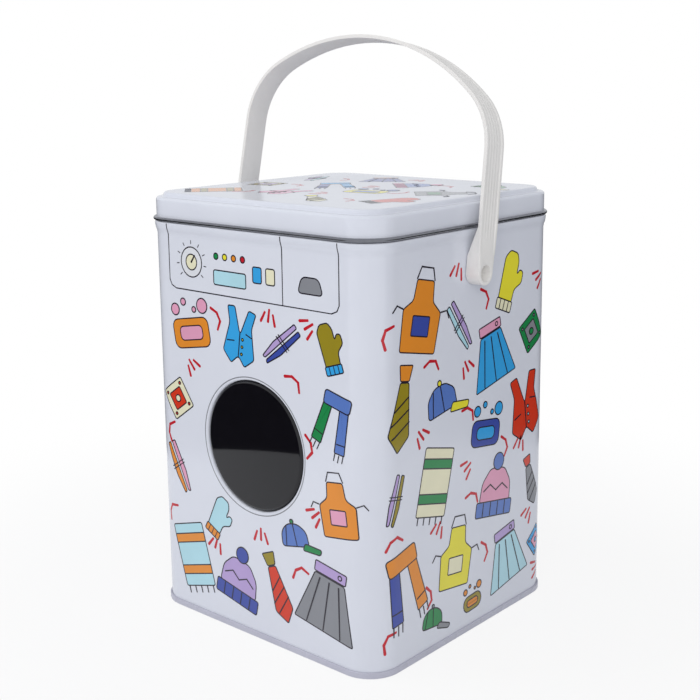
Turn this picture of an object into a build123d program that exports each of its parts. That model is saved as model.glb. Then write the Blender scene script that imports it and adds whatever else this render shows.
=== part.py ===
from build123d import *
import os
from math import atan2, ceil, cos, degrees, radians, sin, sqrt, tan

# Square tinplate box for washing powder, with a slip-on lid, a round dark window and a strap handle.
# Millimetres. +Z is up, the window faces -Y, and the handle turns about a line along X.
# The origin is on the table, under the middle of the box.

# Box
BODY_WIDTH = 165.0          # between the outsides of the two handle walls
BODY_DEPTH = 160.5          # between the outsides of the front and back walls
CORNER_RADIUS = 18.0        # upright corners, outside
SHEET = 0.3                 # tinplate thickness
BEND_RUN = 1.5              # longest of the straight runs that make up a rounded bend of the sheet

# Double seam that joins wall and base
SEAM_HEIGHT = 3.3
SEAM_GAP = 0.05             # air between the folded layers
HOOK_REACH = 2.0            # length of each of the two hooks
COUNTERSINK = 3.8           # base panel's top over the table
COUNTERSINK_RING = 2.0      # flat ring of the base's edge before its panel

# Lid, pushed over the neck
RIM_HEIGHT = 235.0          # top of the lid's rim over the table
SKIRT_HEIGHT = 11.6         # rim's top to the middle of the rolled lower edge
CURL_RADIUS = 1.05          # outside of the closed roll
CURL_SIDES = 8              # flats that make up the roll's section
RIM_WIDTH = 3.6
RIM_EDGE = 1.4              # bend at the rim, at the sheet's middle
PANEL_RISE = 2.5            # raised panel over the rim
PANEL_SLOPE = 0.8           # sideways run of the panel's edge
PANEL_EDGE = 1.0            # bend at the top of the panel's edge
PANEL_RING = 2.0            # flat ring of the lid's edge before its panel
LID_PROUD = 0.15            # skirt outside the line of the wall
LID_FIT = 0.3               # air between skirt and neck
LID_SEAT = 0.3              # air between lid and box, at the roll and at the rim

# Bead below the lid, and the folded top edge of the neck
BEAD_PROUD = 1.2
BEAD_TAPER = 3.5            # height over which the wall swells out
BEAD_BAND = 2.5             # upright band above the swell
BEAD_EDGE = 0.8             # bend at the top of the band
HEM_EDGE = 0.6              # bend at the top of the neck
HEM_WIDTH = 0.9             # between the middles of its two layers
HEM_REACH = 3.0

# Round window
WINDOW_HEIGHT = 107.8
WINDOW_RADIUS = 37.1        # where the wall starts to turn in
WINDOW_ROLL = 1.35          # bend of the drawn edge, at the sheet's middle
WINDOW_LIP = 1.3            # straight part of the drawn edge
PANE_SHEET = 1.0
PANE_RECESS = 0.3           # face of the pane behind the wall's outside
PANE_EDGE = 1.7             # bend of the pane's edge, at its middle
PANE_FIT = 0.3              # air round the pane in the drawn edge
PANE_FLANGE = 3.0           # width of the flange behind the lip
PANE_SEAT = 0.05            # glue between flange and lip

# Side seam of the wall, at the middle of the back
SIDE_SEAM_WIDTH = 4.0
SIDE_SEAM_THICK = 0.6       # folded layers on the inside
SIDE_SEAM_LINE = 0.4        # closing line on the outside
SIDE_SEAM_LINE_DEPTH = 0.1
SIDE_SEAM_CLEAR = 1.5       # over the base and under the bead

# Strap handle, measured in its own plane from the pivot line
PIVOT_DROP = 36.0           # below the rim's top
HANDLE_RISE = 123.0         # pivot to the outside of the crown
HANDLE_LEAN = 10.0          # degrees that the arch leans back
CROWN_RADIUS = 126.5
CROWN_SHIFT = -8.0          # the soft arch stands a little to one side
SHOULDER_RADIUS = 40.0
LEG_TOE_IN = 2.3            # degrees
STRAP_WIDTH = 15.0
STRAP_THICK = 2.0
EDGE_RIB = 1.5
FIELD_DEPTH = 0.5           # between the edge ribs
RIB_COUNT = 4
RIB_WIDTH = 0.8
RIB_HEIGHT = 0.3
FIELD_START = 10.0          # height over the pivot where the ribbed field begins

# Thickened handle ends with their snap studs
BOSS_RADIUS = 6.2
BOSS_DEPTH = 8.45           # from the wall side to the outside
BOSS_CLEAR = 0.3            # air between boss and wall
BOSS_FLAT = 8.0             # height over the pivot where the flare begins
FLARE_TOP = 24.0            # height over the pivot where it has run out into the strap
FLARE_BLEND = 12.0
RECESS_RADIUS = 4.4
RECESS_DEPTH = 5.6
STUD_RADIUS = 3.5
STUD_BORE = 1.8
STUD_FIT = 0.05             # running air round the stud in the wall
HEAD_RADIUS = 4.6
HEAD_TIP_RADIUS = 3.0
HEAD_LENGTH = 3.2
HEAD_CLEAR = 0.3            # air between stud head and wall
STUD_SPLIT = 24.0           # degrees of each of the two gaps between its prongs

# Levels and offsets that follow from the sizes above. Offsets count outwards from the wall's outside.
HALF_SHEET = SHEET / 2
HALF_WIDTH = BODY_WIDTH / 2
HALF_DEPTH = BODY_DEPTH / 2
WALL_LINE = -HALF_SHEET
LAYER = SHEET + SEAM_GAP
CURL_HEIGHT = RIM_HEIGHT - SKIRT_HEIGHT
PIVOT_HEIGHT = RIM_HEIGHT - PIVOT_DROP
SKIRT_LINE = LID_PROUD - HALF_SHEET
NECK_LINE = SKIRT_LINE - SHEET - LID_FIT
BEAD_LINE = BEAD_PROUD - HALF_SHEET
BEAD_TOP = CURL_HEIGHT - CURL_RADIUS - LID_SEAT - HALF_SHEET
BEAD_FOOT = BEAD_TOP - BEAD_BAND - BEAD_TAPER
HEM_TOP = RIM_HEIGHT - SHEET - LID_SEAT - HALF_SHEET
PANEL_INSET = RIM_WIDTH + PANEL_SLOPE + PANEL_RING
BASE_INSET = LAYER + HALF_SHEET + COUNTERSINK_RING
LIP_RADIUS = WINDOW_RADIUS - WINDOW_ROLL - HALF_SHEET
LIP_END = -HALF_DEPTH + HALF_SHEET + WINDOW_ROLL + WINDOW_LIP
BOSS_FACE = HALF_WIDTH + BOSS_CLEAR
BOSS_OUTSIDE = BOSS_FACE + BOSS_DEPTH
STUD_SHOULDER = HALF_WIDTH - SHEET - HEAD_CLEAR


def eased_line(points, bends):
    """A middle line with its chosen corners eased into short straight runs; bends maps point to radius."""
    eased = []
    for i, point in enumerate(points):
        corner = Vector(*point)
        if i not in bends:
            eased.append(corner)
            continue
        to_last = (Vector(*points[i - 1]) - corner).normalized()
        to_next = (Vector(*points[i + 1]) - corner).normalized()
        half_angle = radians(to_last.get_angle(to_next)) / 2
        inward = (to_last + to_next).normalized()
        centre = corner + inward * (bends[i] / sin(half_angle))
        first = corner + to_last * (bends[i] / tan(half_angle)) - centre
        turn = (180 - degrees(2 * half_angle)) * (1 if first.cross(-to_last).Z > 0 else -1)
        runs = ceil(radians(abs(turn)) * bends[i] / BEND_RUN)
        eased += [centre + first.rotate(Axis.Z, turn * step / runs) for step in range(runs + 1)]
    return eased


def sheet_section(points, bends=None, thick=SHEET):
    """Section of folded sheet: half its thickness to each side of a middle line, with square ends."""
    line = eased_line(points, bends or {})
    runs = [(end - start).normalized() for start, end in zip(line, line[1:])]
    left = []
    right = []
    for i, point in enumerate(line):
        arriving = runs[max(i - 1, 0)]
        leaving = runs[min(i, len(runs) - 1)]
        across = Vector(-arriving.Y, arriving.X)
        across_next = Vector(-leaving.Y, leaving.X)
        shift = (across + across_next) * (thick / 2 / (1 + across.dot(across_next)))
        left.append(point + shift)
        right.append(point - shift)
    return make_face(Polyline(*left, *reversed(right), close=True))


def round_the_box(section):
    """Carries a section round the box. Section X is the offset from the wall's outside, Y the height."""
    corner_x = HALF_WIDTH - CORNER_RADIUS
    corner_y = HALF_DEPTH - CORNER_RADIUS
    on_side = Plane((HALF_WIDTH, 0, 0), x_dir=(1, 0, 0), z_dir=(0, -1, 0))
    on_front = Plane((0, -HALF_DEPTH, 0), x_dir=(0, -1, 0), z_dir=(-1, 0, 0))
    at_corner = Plane((HALF_WIDTH, corner_y, 0), x_dir=(1, 0, 0), z_dir=(0, -1, 0))
    side = extrude(on_side * section, corner_y, both=True)
    front = extrude(on_front * section, corner_x, both=True)
    corner = revolve(at_corner * section, Axis((corner_x, corner_y, 0), (0, 0, 1)), 90)
    right_half = side + corner + mirror(corner, Plane.XZ)
    return right_half + mirror(right_half, Plane.YZ) + front + mirror(front, Plane.XZ)


def flat_panel(inset, middle):
    """Flat middle of the base or lid, which laps into its edge section at the given mid height."""
    lap = SHEET
    reach = inset - lap
    outline = RectangleRounded(BODY_WIDTH - 2 * reach, BODY_DEPTH - 2 * reach, CORNER_RADIUS - reach)
    return Pos(0, 0, middle) * extrude(outline, HALF_SHEET, both=True)


def round_the_window(section):
    """Turns a section round the window's middle. Section X is the radius, Y the depth as in the box."""
    level = Plane((0, 0, WINDOW_HEIGHT), x_dir=(1, 0, 0), z_dir=(0, 0, 1))
    return revolve(level * section, Axis((0, 0, WINDOW_HEIGHT), (0, 1, 0)), 360)


def make_wall():
    """Folded wall from the hook in the base seam, over bead and neck, to the folded top edge."""
    hook_line = WALL_LINE + 2 * LAYER
    hook_floor = LAYER + HALF_SHEET
    line = [
        (hook_line, hook_floor + HOOK_REACH),
        (hook_line, hook_floor),
        (WALL_LINE, hook_floor),
        (WALL_LINE, BEAD_FOOT),
        (BEAD_LINE, BEAD_FOOT + BEAD_TAPER),
        (BEAD_LINE, BEAD_TOP),
        (NECK_LINE, BEAD_TOP),
        (NECK_LINE, HEM_TOP),
        (NECK_LINE - HEM_WIDTH, HEM_TOP),
        (NECK_LINE - HEM_WIDTH, HEM_TOP - HEM_REACH),
    ]
    return round_the_box(sheet_section(line, bends={5: BEAD_EDGE, 7: HEM_EDGE}))


def make_drawn_edge():
    """Edge of the window hole, turned into the box."""
    middle = -HALF_DEPTH + HALF_SHEET
    line = [
        (WINDOW_RADIUS + SHEET, middle),
        (LIP_RADIUS + HALF_SHEET, middle),
        (LIP_RADIUS + HALF_SHEET, LIP_END),
    ]
    return round_the_window(sheet_section(line, bends={1: WINDOW_ROLL}))


def make_tin_body():
    wall = make_wall()
    window = Pos(0, -HALF_DEPTH, WINDOW_HEIGHT) * Rot(90, 0, 0) * Cylinder(WINDOW_RADIUS, 4 * SHEET)
    stud_holes = Pos(0, 0, PIVOT_HEIGHT) * Rot(0, 90, 0) * Cylinder(STUD_RADIUS + STUD_FIT, 2 * BODY_WIDTH)
    seam_foot = COUNTERSINK + SIDE_SEAM_CLEAR
    seam_height = BEAD_FOOT - SIDE_SEAM_CLEAR - seam_foot
    seam_middle = seam_foot + seam_height / 2
    layers_depth = SIDE_SEAM_THICK + HALF_SHEET
    layers_y = HALF_DEPTH - HALF_SHEET - layers_depth / 2
    layers = Pos(0, layers_y, seam_middle) * Box(SIDE_SEAM_WIDTH, layers_depth, seam_height)
    groove = Pos(0, HALF_DEPTH, seam_middle) * Box(SIDE_SEAM_LINE, 2 * SIDE_SEAM_LINE_DEPTH, seam_height)
    return wall - window + make_drawn_edge() - stud_holes + layers - groove


def make_base_plate():
    """Countersunk base whose edge is folded over the wall's hook."""
    hook_line = WALL_LINE + LAYER
    band_line = WALL_LINE + 3 * LAYER
    upstand_line = WALL_LINE - LAYER
    band_top = SEAM_HEIGHT - HALF_SHEET
    panel_middle = COUNTERSINK - HALF_SHEET
    line = [
        (hook_line, band_top - HOOK_REACH),
        (hook_line, band_top),
        (band_line, band_top),
        (band_line, HALF_SHEET),
        (upstand_line, HALF_SHEET),
        (upstand_line, panel_middle),
        (-BASE_INSET, panel_middle),
    ]
    return round_the_box(sheet_section(line)) + flat_panel(BASE_INSET, panel_middle)


def make_lid():
    """Drawn lid: rolled lower edge, skirt, rim, raised panel."""
    rim_middle = RIM_HEIGHT - HALF_SHEET
    panel_middle = rim_middle + PANEL_RISE
    line = [
        (SKIRT_LINE, CURL_HEIGHT),
        (SKIRT_LINE, rim_middle),
        (-RIM_WIDTH, rim_middle),
        (-RIM_WIDTH - PANEL_SLOPE, panel_middle),
        (-PANEL_INSET, panel_middle),
    ]
    curl = Pos(SKIRT_LINE - HALF_SHEET + CURL_RADIUS, CURL_HEIGHT) * RegularPolygon(CURL_RADIUS, CURL_SIDES)
    section = sheet_section(line, bends={1: RIM_EDGE, 3: PANEL_EDGE}) + curl
    return round_the_box(section) + flat_panel(PANEL_INSET, panel_middle)


def make_porthole_pane():
    """Formed black pane that fills the drawn edge, with its flange behind the lip."""
    half_pane = PANE_SHEET / 2
    face_middle = -HALF_DEPTH + PANE_RECESS + half_pane
    flange_middle = LIP_END + PANE_SEAT + half_pane
    side_line = LIP_RADIUS - PANE_FIT - half_pane
    line = [
        (0, face_middle),
        (side_line, face_middle),
        (side_line, flange_middle),
        (LIP_RADIUS + PANE_FLANGE, flange_middle),
    ]
    return round_the_window(sheet_section(line, bends={1: PANE_EDGE}, thick=PANE_SHEET))


def leg_point(height, inset=0.0):
    """Point of the right leg at a height over the pivot, a way in from its outside."""
    return Vector(BOSS_OUTSIDE - height * tan(radians(LEG_TOE_IN)) - inset, height)


def shoulder_arc(side):
    """Centre and end angle of the arc that is tangent to a leg and to the crown; X counts outwards."""
    toe_in = radians(LEG_TOE_IN)
    up_the_leg = Vector(-sin(toe_in), cos(toe_in))
    outward = Vector(cos(toe_in), sin(toe_in))
    crown = Vector(side * CROWN_SHIFT, HANDLE_RISE - CROWN_RADIUS)
    first = leg_point(0) - outward * SHOULDER_RADIUS
    to_first = first - crown
    along = to_first.dot(up_the_leg)
    gap = CROWN_RADIUS - SHOULDER_RADIUS
    climb = -along + sqrt(along ** 2 - to_first.dot(to_first) + gap ** 2)
    centre = first + up_the_leg * climb
    reach = centre - crown
    return centre, degrees(atan2(reach.Y, reach.X))


def handle_path():
    """Outside line of the strap: leg, shoulder, crown, shoulder, leg."""
    right_centre, right_end = shoulder_arc(1)
    left_centre, left_end = shoulder_arc(-1)
    right = CenterArc(right_centre, SHOULDER_RADIUS, LEG_TOE_IN, right_end - LEG_TOE_IN)
    crown_start = right_end
    crown_turn = 180 - right_end - left_end
    crown = CenterArc((CROWN_SHIFT, HANDLE_RISE - CROWN_RADIUS), CROWN_RADIUS, crown_start, crown_turn)
    left_middle = Vector(-left_centre.X, left_centre.Y)
    left = CenterArc(left_middle, SHOULDER_RADIUS, 180 - left_end, left_end - LEG_TOE_IN)
    foot = leg_point(FIELD_START)
    right_leg = Line(foot, right @ 0)
    left_leg = Line(left @ 1, Vector(-foot.X, foot.Y))
    return Plane.XZ * Wire([right_leg, right, crown, left, left_leg])


def strap_section():
    """Strap across its length: X across, Y inwards from the outside, ribs on the outside."""
    outline = Pos(0, STRAP_THICK / 2) * Rectangle(STRAP_WIDTH, STRAP_THICK)
    field_width = STRAP_WIDTH - 2 * EDGE_RIB
    field = Pos(0, FIELD_DEPTH / 2) * Rectangle(field_width, FIELD_DEPTH)
    rib = Pos(0, FIELD_DEPTH - RIB_HEIGHT / 2) * Rectangle(RIB_WIDTH, RIB_HEIGHT)
    pitch = field_width / (RIB_COUNT + 1)
    ribs = [Pos((i - (RIB_COUNT - 1) / 2) * pitch, 0) * rib for i in range(RIB_COUNT)]
    return outline - field + ribs


def make_strap():
    path = handle_path()
    start = Plane(origin=path @ 0, x_dir=(0, 1, 0), z_dir=path % 0)
    return sweep((start * strap_section()).face(), path=path)


def make_handle_end():
    """Right end of the handle: flared boss with a round recess, and the split stud in the wall."""
    set_back = (FIELD_DEPTH + STRAP_THICK) / 2
    top = FLARE_TOP + FLARE_BLEND / 2
    inner = FilletPolyline(
        (BOSS_FACE, -BOSS_RADIUS),
        (BOSS_FACE, BOSS_FLAT),
        leg_point(FLARE_TOP, STRAP_THICK),
        leg_point(top, STRAP_THICK),
        radius=FLARE_BLEND,
    )
    outer = Polyline(
        leg_point(top, STRAP_THICK),
        leg_point(top, set_back),
        leg_point(FIELD_START, set_back),
        leg_point(FIELD_START),
        leg_point(-BOSS_RADIUS),
        (BOSS_FACE, -BOSS_RADIUS),
    )
    boss = extrude(Plane.XZ * make_face(inner + outer), STRAP_WIDTH / 2, both=True)
    tip = STUD_SHOULDER - HEAD_LENGTH
    prong_section = Polyline(
        (tip, STUD_BORE),
        (tip, HEAD_TIP_RADIUS),
        (STUD_SHOULDER, HEAD_RADIUS),
        (STUD_SHOULDER, STUD_RADIUS),
        (BOSS_FACE, STUD_RADIUS),
        (BOSS_FACE, STUD_BORE),
        close=True,
    )
    prong = Rot(STUD_SPLIT / 2, 0, 0) * revolve(Plane.XZ * make_face(prong_section), Axis.X, 180 - STUD_SPLIT)
    recess = Pos(BOSS_OUTSIDE - RECESS_DEPTH, 0, 0) * Rot(0, 90, 0) * Cylinder(
        RECESS_RADIUS, 2 * RECESS_DEPTH, align=(Align.CENTER, Align.CENTER, Align.MIN)
    )
    bore = Pos(HALF_WIDTH, 0, 0) * Rot(0, 90, 0) * Cylinder(STUD_BORE, BOSS_OUTSIDE)
    return boss - recess - bore + prong + Rot(180, 0, 0) * prong


def make_carry_handle():
    end = make_handle_end()
    handle = make_strap() + end + mirror(end, Plane.YZ)
    tongue = make_face(
        Polyline(
            (STRAP_WIDTH, 2 * HANDLE_RISE),
            (STRAP_WIDTH, FLARE_TOP),
            (STRAP_WIDTH / 2, FLARE_TOP),
            (BOSS_RADIUS, 0),
        )
        + CenterArc((0, 0), BOSS_RADIUS, 0, -180)
        + Polyline(
            (-BOSS_RADIUS, 0),
            (-STRAP_WIDTH / 2, FLARE_TOP),
            (-STRAP_WIDTH, FLARE_TOP),
            (-STRAP_WIDTH, 2 * HANDLE_RISE),
            (STRAP_WIDTH, 2 * HANDLE_RISE),
        )
    )
    trimmed = handle & extrude(Plane.YZ * tongue, BODY_WIDTH, both=True)
    return Pos(0, 0, PIVOT_HEIGHT) * Rot(-HANDLE_LEAN, 0, 0) * trimmed


os.makedirs("parts", exist_ok=True)
export_step(make_tin_body(), "parts/tin_body.step")
export_step(make_base_plate(), "parts/base_plate.step")
export_step(make_lid(), "parts/lid.step")
export_step(make_porthole_pane(), "parts/porthole_pane.step")
export_step(make_carry_handle(), "parts/carry_handle.step")
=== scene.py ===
from math import atan2, cos, pi, radians, sin, sqrt, tan

import bmesh
import bpy
from mathutils import Matrix, Vector


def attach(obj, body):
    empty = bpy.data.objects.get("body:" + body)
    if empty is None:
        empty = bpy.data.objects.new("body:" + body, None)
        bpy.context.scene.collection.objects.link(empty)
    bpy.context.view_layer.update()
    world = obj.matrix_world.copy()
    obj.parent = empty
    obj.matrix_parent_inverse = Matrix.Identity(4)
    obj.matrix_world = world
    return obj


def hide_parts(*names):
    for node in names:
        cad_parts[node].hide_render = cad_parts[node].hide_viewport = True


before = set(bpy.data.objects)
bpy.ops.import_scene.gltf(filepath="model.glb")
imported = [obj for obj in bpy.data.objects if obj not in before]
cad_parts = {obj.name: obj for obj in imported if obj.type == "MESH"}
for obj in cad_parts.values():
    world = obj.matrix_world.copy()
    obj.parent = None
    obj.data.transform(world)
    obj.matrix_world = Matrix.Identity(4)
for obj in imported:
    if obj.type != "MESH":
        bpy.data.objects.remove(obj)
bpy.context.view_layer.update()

# Wall of the box. One sheet of tinplate is lacquered white, folded square with round corners and seamed up the back.
# Its foot hooks into the base seam, a bead and a neck take the lid, and the front is drawn in round a window hole.
MM = 0.001
MERGE = 0.001
WELD = 0.01
FACING = 0.99
SHARP = radians(35)
WIDTH = 165.0
DEPTH = 160.5
CORNER = 18.0
CORNER_STEPS = 18
FLAT_X = WIDTH / 2 - CORNER
FLAT_Y = DEPTH / 2 - CORNER
SHEET = 0.3
BEND_STEPS = 5
WALL_FOOT = 0.6
BEAD_FOOT = 215.9
BEAD_SWELL = 219.4
BEAD_TOP = 222.05
BEAD_PROUD = 1.2
NECK = -0.45
NECK_TOP = 234.4
HEM = 1.2
HEM_REACH = 3.0
WALL_BENDS = {1: 1.5, 2: 1.5, 3: 0.8, 4: 0.3, 5: 0.5, 6: 0.5}
PRINT_STOPS_UNDER = 0.75
WINDOW_LEVEL = 107.8
WINDOW_RADIUS = 37.1
WINDOW_ROLL = 1.5
WINDOW_LIP = 2.8
WINDOW_STEPS = 96
WINDOW_BEND_STEPS = 8
PIVOT_LEVEL = 199.0
STUD_HOLE = 3.55
STUD_STEPS = 32
LACQUER_CLOUD = 22.0
LACQUER_IOR = 1.5
GLOSS_DRIFT = 0.04
SHEET_WAVE = 70.0
SHEET_WAVE_HEIGHT = 1.2
PEEL = 1.6
PEEL_HEIGHT = 0.02


def linear(code):
    """Linear colour of an sRGB hex code."""
    channels = [int(code[i:i + 2], 16) / 255 for i in (1, 3, 5)]
    return [c / 12.92 if c <= 0.04045 else ((c + 0.055) / 1.055) ** 2.4 for c in channels] + [1.0]


def add(tree, kind, inputs=None, **settings):
    """Adds a node with its settings; an input given as a socket is linked, and any other is set."""
    new = tree.nodes.new(kind)
    for name, value in settings.items():
        setattr(new, name, value)
    for name, value in (inputs or {}).items():
        if isinstance(value, bpy.types.NodeSocket):
            tree.links.new(value, new.inputs[name])
        else:
            new.inputs[name].default_value = value
    return new


def mottled(name, code, shade, size, detail, polish):
    """Starts a material whose colour and polish drift together in soft clouds of one size in mm; gives the material,
    its tree, its shader and the piece's own coordinates."""
    material = bpy.data.materials.new(name)
    material.use_nodes = True
    tree = material.node_tree
    shader = tree.nodes["Principled BSDF"]
    place = add(tree, "ShaderNodeTexCoord").outputs["Object"]
    cloud = add(tree, "ShaderNodeTexNoise", {"Vector": place, "Scale": 1 / (size * MM), "Detail": detail}).outputs[0]
    tint = add(tree, "ShaderNodeMix", {0: cloud, 6: linear(code), 7: linear(shade)}, data_type="RGBA")
    rough = add(tree, "ShaderNodeMapRange", {"Value": cloud, "To Min": polish[0], "To Max": polish[1]})
    tree.links.new(tint.outputs[2], shader.inputs["Base Color"])
    tree.links.new(rough.outputs[0], shader.inputs["Roughness"])
    return material, tree, shader, place


def stoved_lacquer(name, code, shade, gloss=0.16):
    """Stoved lacquer under clear varnish on rolled tinplate: even colour, high gloss, and a sheet that is never
    quite flat, so that what it mirrors bends slowly, with a fine orange-peel skin on top."""
    material, tree, shader, place = mottled(name, code, shade, size=LACQUER_CLOUD, detail=2.0,
                                            polish=(gloss - GLOSS_DRIFT, gloss + GLOSS_DRIFT))
    slow = add(tree, "ShaderNodeTexNoise", {"Vector": place, "Scale": 1 / (SHEET_WAVE * MM), "Detail": 1.0})
    skin = add(tree, "ShaderNodeTexNoise", {"Vector": place, "Scale": 1 / (PEEL * MM), "Detail": 1.0})
    sheet = add(tree, "ShaderNodeBump", {"Height": slow.outputs[0], "Strength": 0.35,
                                         "Distance": SHEET_WAVE_HEIGHT * MM})
    peel = add(tree, "ShaderNodeBump", {"Height": skin.outputs[0], "Strength": 0.05,
                                        "Distance": PEEL_HEIGHT * MM, "Normal": sheet.outputs[0]})
    tree.links.new(peel.outputs[0], shader.inputs["Normal"])
    shader.inputs["IOR"].default_value = LACQUER_IOR
    return material


def bent_line(shell, points, bends, steps):
    """Draws a line through points in mm, and rounds the corners that bends names, each with its reach."""
    verts = [shell.verts.new(Vector(point) * MM) for point in points]
    for pair in zip(verts, verts[1:]):
        shell.edges.new(pair)
    for i, reach in bends.items():
        bmesh.ops.bevel(shell, geom=[verts[i]], offset=reach * MM, offset_type="OFFSET", segments=steps, profile=0.5,
                        affect="VERTICES", material=-1)


def section(shell, line, bends):
    """Puts a section on the right wall, as (offset from the wall, height), and rounds chosen corners."""
    bent_line(shell, [(WIDTH / 2 + u, -FLAT_Y, z) for u, z in line], bends, BEND_STEPS)


def extrude_along(shell, edges, way):
    """Draws a run of wall from some edges; gives the edges at its far end."""
    fresh = bmesh.ops.extrude_edge_only(shell, edges=edges)["geom"]
    ends = {g for g in fresh if isinstance(g, bmesh.types.BMVert)}
    bmesh.ops.translate(shell, verts=list(ends), vec=way)
    return [e for e in shell.edges if e.verts[0] in ends and e.verts[1] in ends]


def turn_round(shell, edges, centre, axis, angle, steps):
    """Turns some edges about an axis into a bent run of wall; gives the edges at its far end."""
    verts = list(dict.fromkeys(v for e in edges for v in e.verts))
    last = bmesh.ops.spin(shell, geom=verts + edges, cent=centre, axis=axis, angle=angle, steps=steps,
                          use_duplicate=False)["geom_last"]
    return [g for g in last if isinstance(g, bmesh.types.BMEdge)]


def carry_round(shell):
    """Carries the section that shell holds along the four walls and round the four corners."""
    edges = shell.edges[:]
    for turn, (x, y) in enumerate(((1, 1), (-1, 1), (-1, -1), (1, -1))):
        run = 2 * (FLAT_X if turn % 2 else FLAT_Y) * MM
        edges = extrude_along(shell, edges, Matrix.Rotation(turn * pi / 2, 3, "Z") @ Vector((0, run, 0)))
        edges = turn_round(shell, edges, (x * FLAT_X * MM, y * FLAT_Y * MM, 0), (0, 0, 1), pi / 2, CORNER_STEPS)
    bmesh.ops.remove_doubles(shell, verts=shell.verts[:], dist=MERGE * MM)
    bmesh.ops.recalc_face_normals(shell, faces=shell.faces[:])


def edges_at(verts):
    """Edges that meet at some vertices, each once."""
    return list(dict.fromkeys(e for v in verts for e in v.link_edges))


def pierce(shell, facing, level, radius, steps):
    """Opens a round hole in the large flat face that looks one way."""
    flat = max((f for f in shell.faces if f.normal.dot(facing) > FACING), key=lambda f: f.calc_area())
    middle = flat.calc_center_median()
    middle.z = level * MM
    border = flat.edges[:]
    bmesh.ops.delete(shell, geom=[flat], context="FACES_ONLY")
    place = Matrix.Translation(middle) @ facing.to_track_quat("Z", "Y").to_matrix().to_4x4()
    ring = bmesh.ops.create_circle(shell, segments=steps, radius=radius * MM, matrix=place)
    bmesh.ops.triangle_fill(shell, use_beauty=True, edges=border + edges_at(ring["verts"]))


def turned(line, reach):
    """Turns a line of (radius, depth behind the front) about the window's axis, with its first corner rounded."""
    shell = bmesh.new()
    bent_line(shell, [(r, d - DEPTH / 2, WINDOW_LEVEL) for r, d in line], {1: reach}, WINDOW_BEND_STEPS)
    bmesh.ops.spin(shell, geom=shell.verts[:] + shell.edges[:], cent=(0, 0, WINDOW_LEVEL * MM), axis=(0, 1, 0),
                   angle=2 * pi, steps=WINDOW_STEPS, use_merge=True)
    return shell


def join(shell, other):
    """Moves a second mesh into the first."""
    mesh = bpy.data.meshes.new("joined")
    other.to_mesh(mesh)
    other.free()
    shell.from_mesh(mesh)
    bpy.data.meshes.remove(mesh)


def piece(shell, name, *materials):
    """Makes an object of a finished mesh: smooth, with an edge where two faces meet sharply."""
    for face in shell.faces:
        face.smooth = True
    for edge in shell.edges:
        edge.smooth = edge.calc_face_angle(0.0) < SHARP
    mesh = bpy.data.meshes.new(name)
    shell.to_mesh(mesh)
    shell.free()
    for material in materials:
        mesh.materials.append(material)
    made = bpy.data.objects.new(name, mesh)
    bpy.context.scene.collection.objects.link(made)
    return made


white_lacquer = stoved_lacquer("white_stoved_lacquer", "#DDE0E9", "#D8DBE5")
wall = bmesh.new()
section(wall, [(0, WALL_FOOT), (0, BEAD_FOOT), (BEAD_PROUD, BEAD_SWELL), (BEAD_PROUD, BEAD_TOP), (NECK, BEAD_TOP),
               (NECK, NECK_TOP), (NECK - HEM, NECK_TOP), (NECK - HEM, NECK_TOP - HEM_REACH)], WALL_BENDS)
# The print is folded over this outer line of the wall, up to the swell of the bead.
wall_profile = sorted((v.co.z, v.co.x - WIDTH / 2 * MM) for v in wall.verts
                      if v.co.z < (BEAD_TOP - PRINT_STOPS_UNDER) * MM)
carry_round(wall)
pierce(wall, Vector((0, -1, 0)), WINDOW_LEVEL, WINDOW_RADIUS, WINDOW_STEPS)
for side in (1, -1):
    pierce(wall, Vector((side, 0, 0)), PIVOT_LEVEL, STUD_HOLE, STUD_STEPS)
join(wall, turned([(WINDOW_RADIUS, 0), (WINDOW_RADIUS - WINDOW_ROLL, 0), (WINDOW_RADIUS - WINDOW_ROLL, WINDOW_LIP)],
                  WINDOW_ROLL))
bmesh.ops.remove_doubles(wall, verts=wall.verts[:], dist=WELD * MM)
bmesh.ops.recalc_face_normals(wall, faces=wall.faces[:])
bmesh.ops.solidify(wall, geom=wall.faces[:], thickness=SHEET * MM)
box_wall = piece(wall, "box_wall", white_lacquer)
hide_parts("tin_body")
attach(box_wall, "tin")

# Window pane. A disc of black polished plastic with a turned-down edge fills the drawn hole from inside.
# Its flange is glued behind the lip.
PANE_FACE = 0.3
PANE_RADIUS = 35.3
PANE_EDGE = 2.2
PANE_FLANGE = 38.6
PANE_FLANGE_FACE = 2.85
PANE_SHEET = 1.0
PANE_HAZE = 9.0
ACRYLIC_IOR = 1.49

# Polished black acrylic has a deep colour and a mirror-like skin, with the faint haze of handling.
black_acrylic, _, shader, _ = mottled("black_polished_acrylic", "#0C0B0F", "#111015", size=PANE_HAZE, detail=4.0,
                                      polish=(0.02, 0.07))
shader.inputs["IOR"].default_value = ACRYLIC_IOR
disc = turned([(0, PANE_FACE), (PANE_RADIUS, PANE_FACE), (PANE_RADIUS, PANE_FLANGE_FACE),
               (PANE_FLANGE, PANE_FLANGE_FACE)], PANE_EDGE)
bmesh.ops.remove_doubles(disc, verts=disc.verts[:], dist=MERGE * MM)
bmesh.ops.recalc_face_normals(disc, faces=disc.faces[:])
if disc.faces[0].normal.y > 0:
    bmesh.ops.reverse_faces(disc, faces=disc.faces[:])
bmesh.ops.solidify(disc, geom=disc.faces[:], thickness=PANE_SHEET * MM)
window_pane = piece(disc, "window_pane", black_acrylic)
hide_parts("porthole_pane")
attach(window_pane, "tin")

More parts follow.
